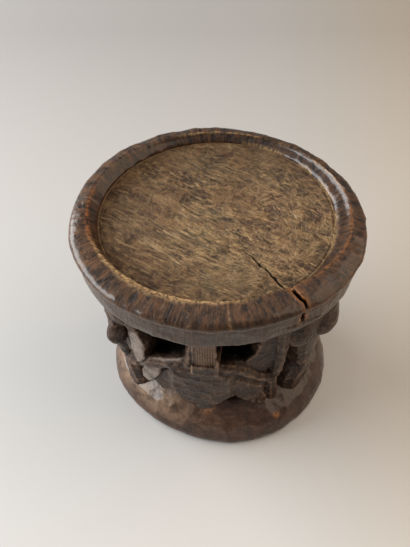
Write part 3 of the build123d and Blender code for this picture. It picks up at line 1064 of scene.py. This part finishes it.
def seat_floor_wood():
    """The seat's floor: dry olive-brown wood, mottled, with curved pale strokes left by the knife, and
    painted shade that darkens it away from its lightest place.
    """
    n = Nodes("seat_floor_wood")
    plain = n.place()
    position = dict(zip("XYZ", n.split(plain)))
    broad = n.noise(plain, 14, 5, 0.6, 0.8)
    mottle = n.noise(plain, 60, 10, 0.74, 0.9)
    hue = n.noise(n.place(turn=(0.4, 0, 2)), 22, 4, 0.6, 0.6)
    # Strokes follow a slightly warped grain, so that they bend and no two run alike
    swirl = n.add("ShaderNodeTexNoise", {"Vector": plain, "Scale": 11, "Detail": 2}, output="Color")
    bent = n.vector_math("MULTIPLY_ADD", swirl, (0.014, 0.014, 0), plain)
    # The fine grain is rough in some regions and rubbed smooth in others
    fine = n.noise(n.mapped(bent, (3.2, 1, 1), (0, 0, math.radians(-32))), 230, 5, 0.72, 0.4)
    rough = n.ramp(n.noise(n.place(turn=(0, 0.3, 1)), 17, 3), 0.44, 0.56, 0.25, 1)
    # Short chips that run round the heart of the log, at the back and the right
    chips = n.noise(n.around((2.6, 1, 1), HEART, SEAT_RADIUS / 2), 300, 3, 0.65, 1.2)
    share = n.times(n.ramp(position["X"], -0.05, 0.04, 0.2, 0.6), n.ramp(broad, 0.38, 0.58, 0.25, 1))
    marks = n.math("MAXIMUM", n.times(n.ramp(chips, 0.53, 0.61), share), knife_strokes(n, bent, position))
    grooves = n.times(scratches(n, bent, 9, -38, 340, 0.57), n.ramp(broad, 0.4, 0.6, 0.85, 0.35))
    wear = n.attribute("wear")
    tone = n.layers(
        n.mix(n.ramp(mottle, 0.44, 0.56), (76, 51, 31), (174, 136, 92)),
        (n.ramp(broad, 0.47, 0.58, 0, 0.6), (164, 134, 98)),
        (n.ramp(broad, 0.49, 0.38, 0, 0.75), (72, 51, 35)),
        (n.ramp(hue, 0.5, 0.62, 0, 0.45), (116, 72, 42)),
        (n.ramp(hue, 0.48, 0.38, 0, 0.35), (116, 106, 76)),
        (n.times(n.ramp(chips, 0.47, 0.39), share), (56, 38, 25)),
        (marks, (206, 172, 126)),
        (grooves, (52, 36, 24)),
        (n.times(n.ramp(fine, 0.54, 0.61, 0, 0.85), rough), (214, 176, 124)),
        (n.times(n.ramp(fine, 0.46, 0.38, 0, 0.8), rough), (42, 28, 18)),
        (n.ramp(wear, 0.47, 0.32, 0, 0.8), (46, 32, 22)),
        (n.ramp(wear, 0.53, 0.68, 0, 0.6), (188, 152, 104)),
        # Painted shade: the floor darkens away from its least shaded place, towards the rim at the back and
        # left
        (n.ramp(n.distance(plain, LEAST_SHADED_PLACE), 0.055, 0.15, 0, 0.5), (76, 52, 33)),
    )
    for x, y, size in WORM_HOLES_MM:
        gap = n.distance(plain, (x * MM, y * MM, SEAT_FLOOR))
        tone = n.mix(n.ramp(gap, size * 1.2 * MM, size * 0.7 * MM, 0, 0.95), tone, (14, 9, 6))
    height = n.total((marks, 0.5), (fine, 0.8), (mottle, 1.6), (chips, 1.2))
    return n.finish({
        "Base Color": n.mix(n.ramp(n.attribute("crack"), 0.1, 0.5), tone, (12, 8, 5)),
        "Roughness": n.ramp(mottle, 0.35, 0.7, 0.42, 0.66),
        "Normal": n.bump(height, 1, 0.0034),
        "Specular IOR Level": 0.3,
    })


# Stage, light and camera

STAGE_HALF = 6.0
# Name, place, target, size, watts and tint
LAMPS = (
    ("window", (-2.15, 0.4, 0.92), (0, 0, 0.15), (3.2, 1.25), 102, (0.95, 0.98, 1)),
    ("ceiling", (0.1, 0.4, 2.3), (0, 0, 0.1), (3.2, 3.2), 13, (1, 0.985, 0.96)),
    ("room", (1.9, 0.1, 1.5), (0, 0, 0.1), (2.6, 2.4), 30, (1, 0.79, 0.58)),
)
SKY_TINT = (1, 0.97, 0.94, 1)
SKY_STRENGTH = 0.25
CAMERA_PLACE = (0, -0.6606, 0.8807)
# In radians: left of straight ahead, down, and to the side
CAMERA_YAW, CAMERA_PITCH, CAMERA_ROLL = -0.021, 0.83, -0.02
LENS_MM, SENSOR_MM = 54.1, 36


def pale_floor():
    """The floor's paint with painted light: darker and greyer towards the back, where the light falls off,
    and warmed by painted light at the right.
    """
    n = Nodes("pale_floor")
    across, along, _ = n.split(n.own())
    tone = n.mix(n.ramp(along, -0.4, 0.8), (228, 226, 223), (172, 169, 166))
    tone = n.mix(n.ramp(across, 0.1, 0.45), tone, (255, 243, 226), "MULTIPLY")
    return n.finish({"Base Color": tone, "Roughness": 0.75, "Specular IOR Level": 0.1})


def build_stage():
    corners = [(x * STAGE_HALF, y * STAGE_HALF, 0) for x, y in ((-1, -1), (1, -1), (1, 1), (-1, 1))]
    mesh = new_mesh("floor", corners, [(0, 1, 2, 3)])
    mesh.materials.append(pale_floor())
    new_object("floor", mesh)


def build_light():
    for name, place, target, size, watts, tint in LAMPS:
        data = bpy.data.lights.new(name, "AREA")
        data.shape = "RECTANGLE"
        data.size, data.size_y = size
        data.energy = watts
        data.color = tint
        lamp = new_object(name, data)
        lamp.location = place
        lamp.rotation_euler = (Vector(target) - Vector(place)).to_track_quat("-Z", "Y").to_euler()
    world = bpy.data.worlds.new("sky")
    world.use_nodes = True
    background = world.node_tree.nodes["Background"]
    background.inputs["Color"].default_value = SKY_TINT
    background.inputs["Strength"].default_value = SKY_STRENGTH
    bpy.context.scene.world = world


def build_camera():
    """The photograph's view: above and in front, looking down at the seat."""
    yaw, pitch, roll = CAMERA_YAW, CAMERA_PITCH, CAMERA_ROLL
    forwards = Vector((math.sin(yaw) * math.cos(pitch), math.cos(yaw) * math.cos(pitch), -math.sin(pitch)))
    right = forwards.cross(Vector((0, 0, 1))).normalized()
    up = right.cross(forwards)
    right, up = right * math.cos(roll) + up * math.sin(roll), up * math.cos(roll) - right * math.sin(roll)
    data = bpy.data.cameras.new("camera")
    data.sensor_width = SENSOR_MM
    data.lens = LENS_MM
    camera = new_object("camera", data)
    view = Matrix((right, up, -forwards)).transposed().to_4x4()
    camera.matrix_world = Matrix.Translation(CAMERA_PLACE) @ view
    bpy.context.scene.camera = camera


build_camera()
build_stage()
build_light()
base_wood = patina(
    "base", ((44, 28, 21), (80, 55, 43), (116, 84, 62)),
    stretch=(10, 1, 1.5), blotch=0.2, fleck=0.2, grain=0.7, gloss=(0.2, 0.55, 0.19),
)
carved_wood = patina(
    "carved", ((32, 21, 17), (64, 47, 38), (150, 122, 100)),
    stretch=(1, 1, 5), blotch=0.15, fleck=0.15, grain=0.4, gloss=(0.1, 0.15, 0.19),
)
rim_wood = patina(
    "rim", ((22, 14, 10), (63, 42, 28), (114, 77, 47)),
    stretch=(1, 9, 9), blotch=0.15, fleck=0.3, grain=1, gloss=(0.1, 0.7, 0.21),
)
build_rim(rim_wood)
build_panel(seat_floor_wood())
build_base(base_wood)
build_figures(carved_wood)
build_knobs(carved_wood)

bpy.context.scene.view_settings.view_transform = "Standard"
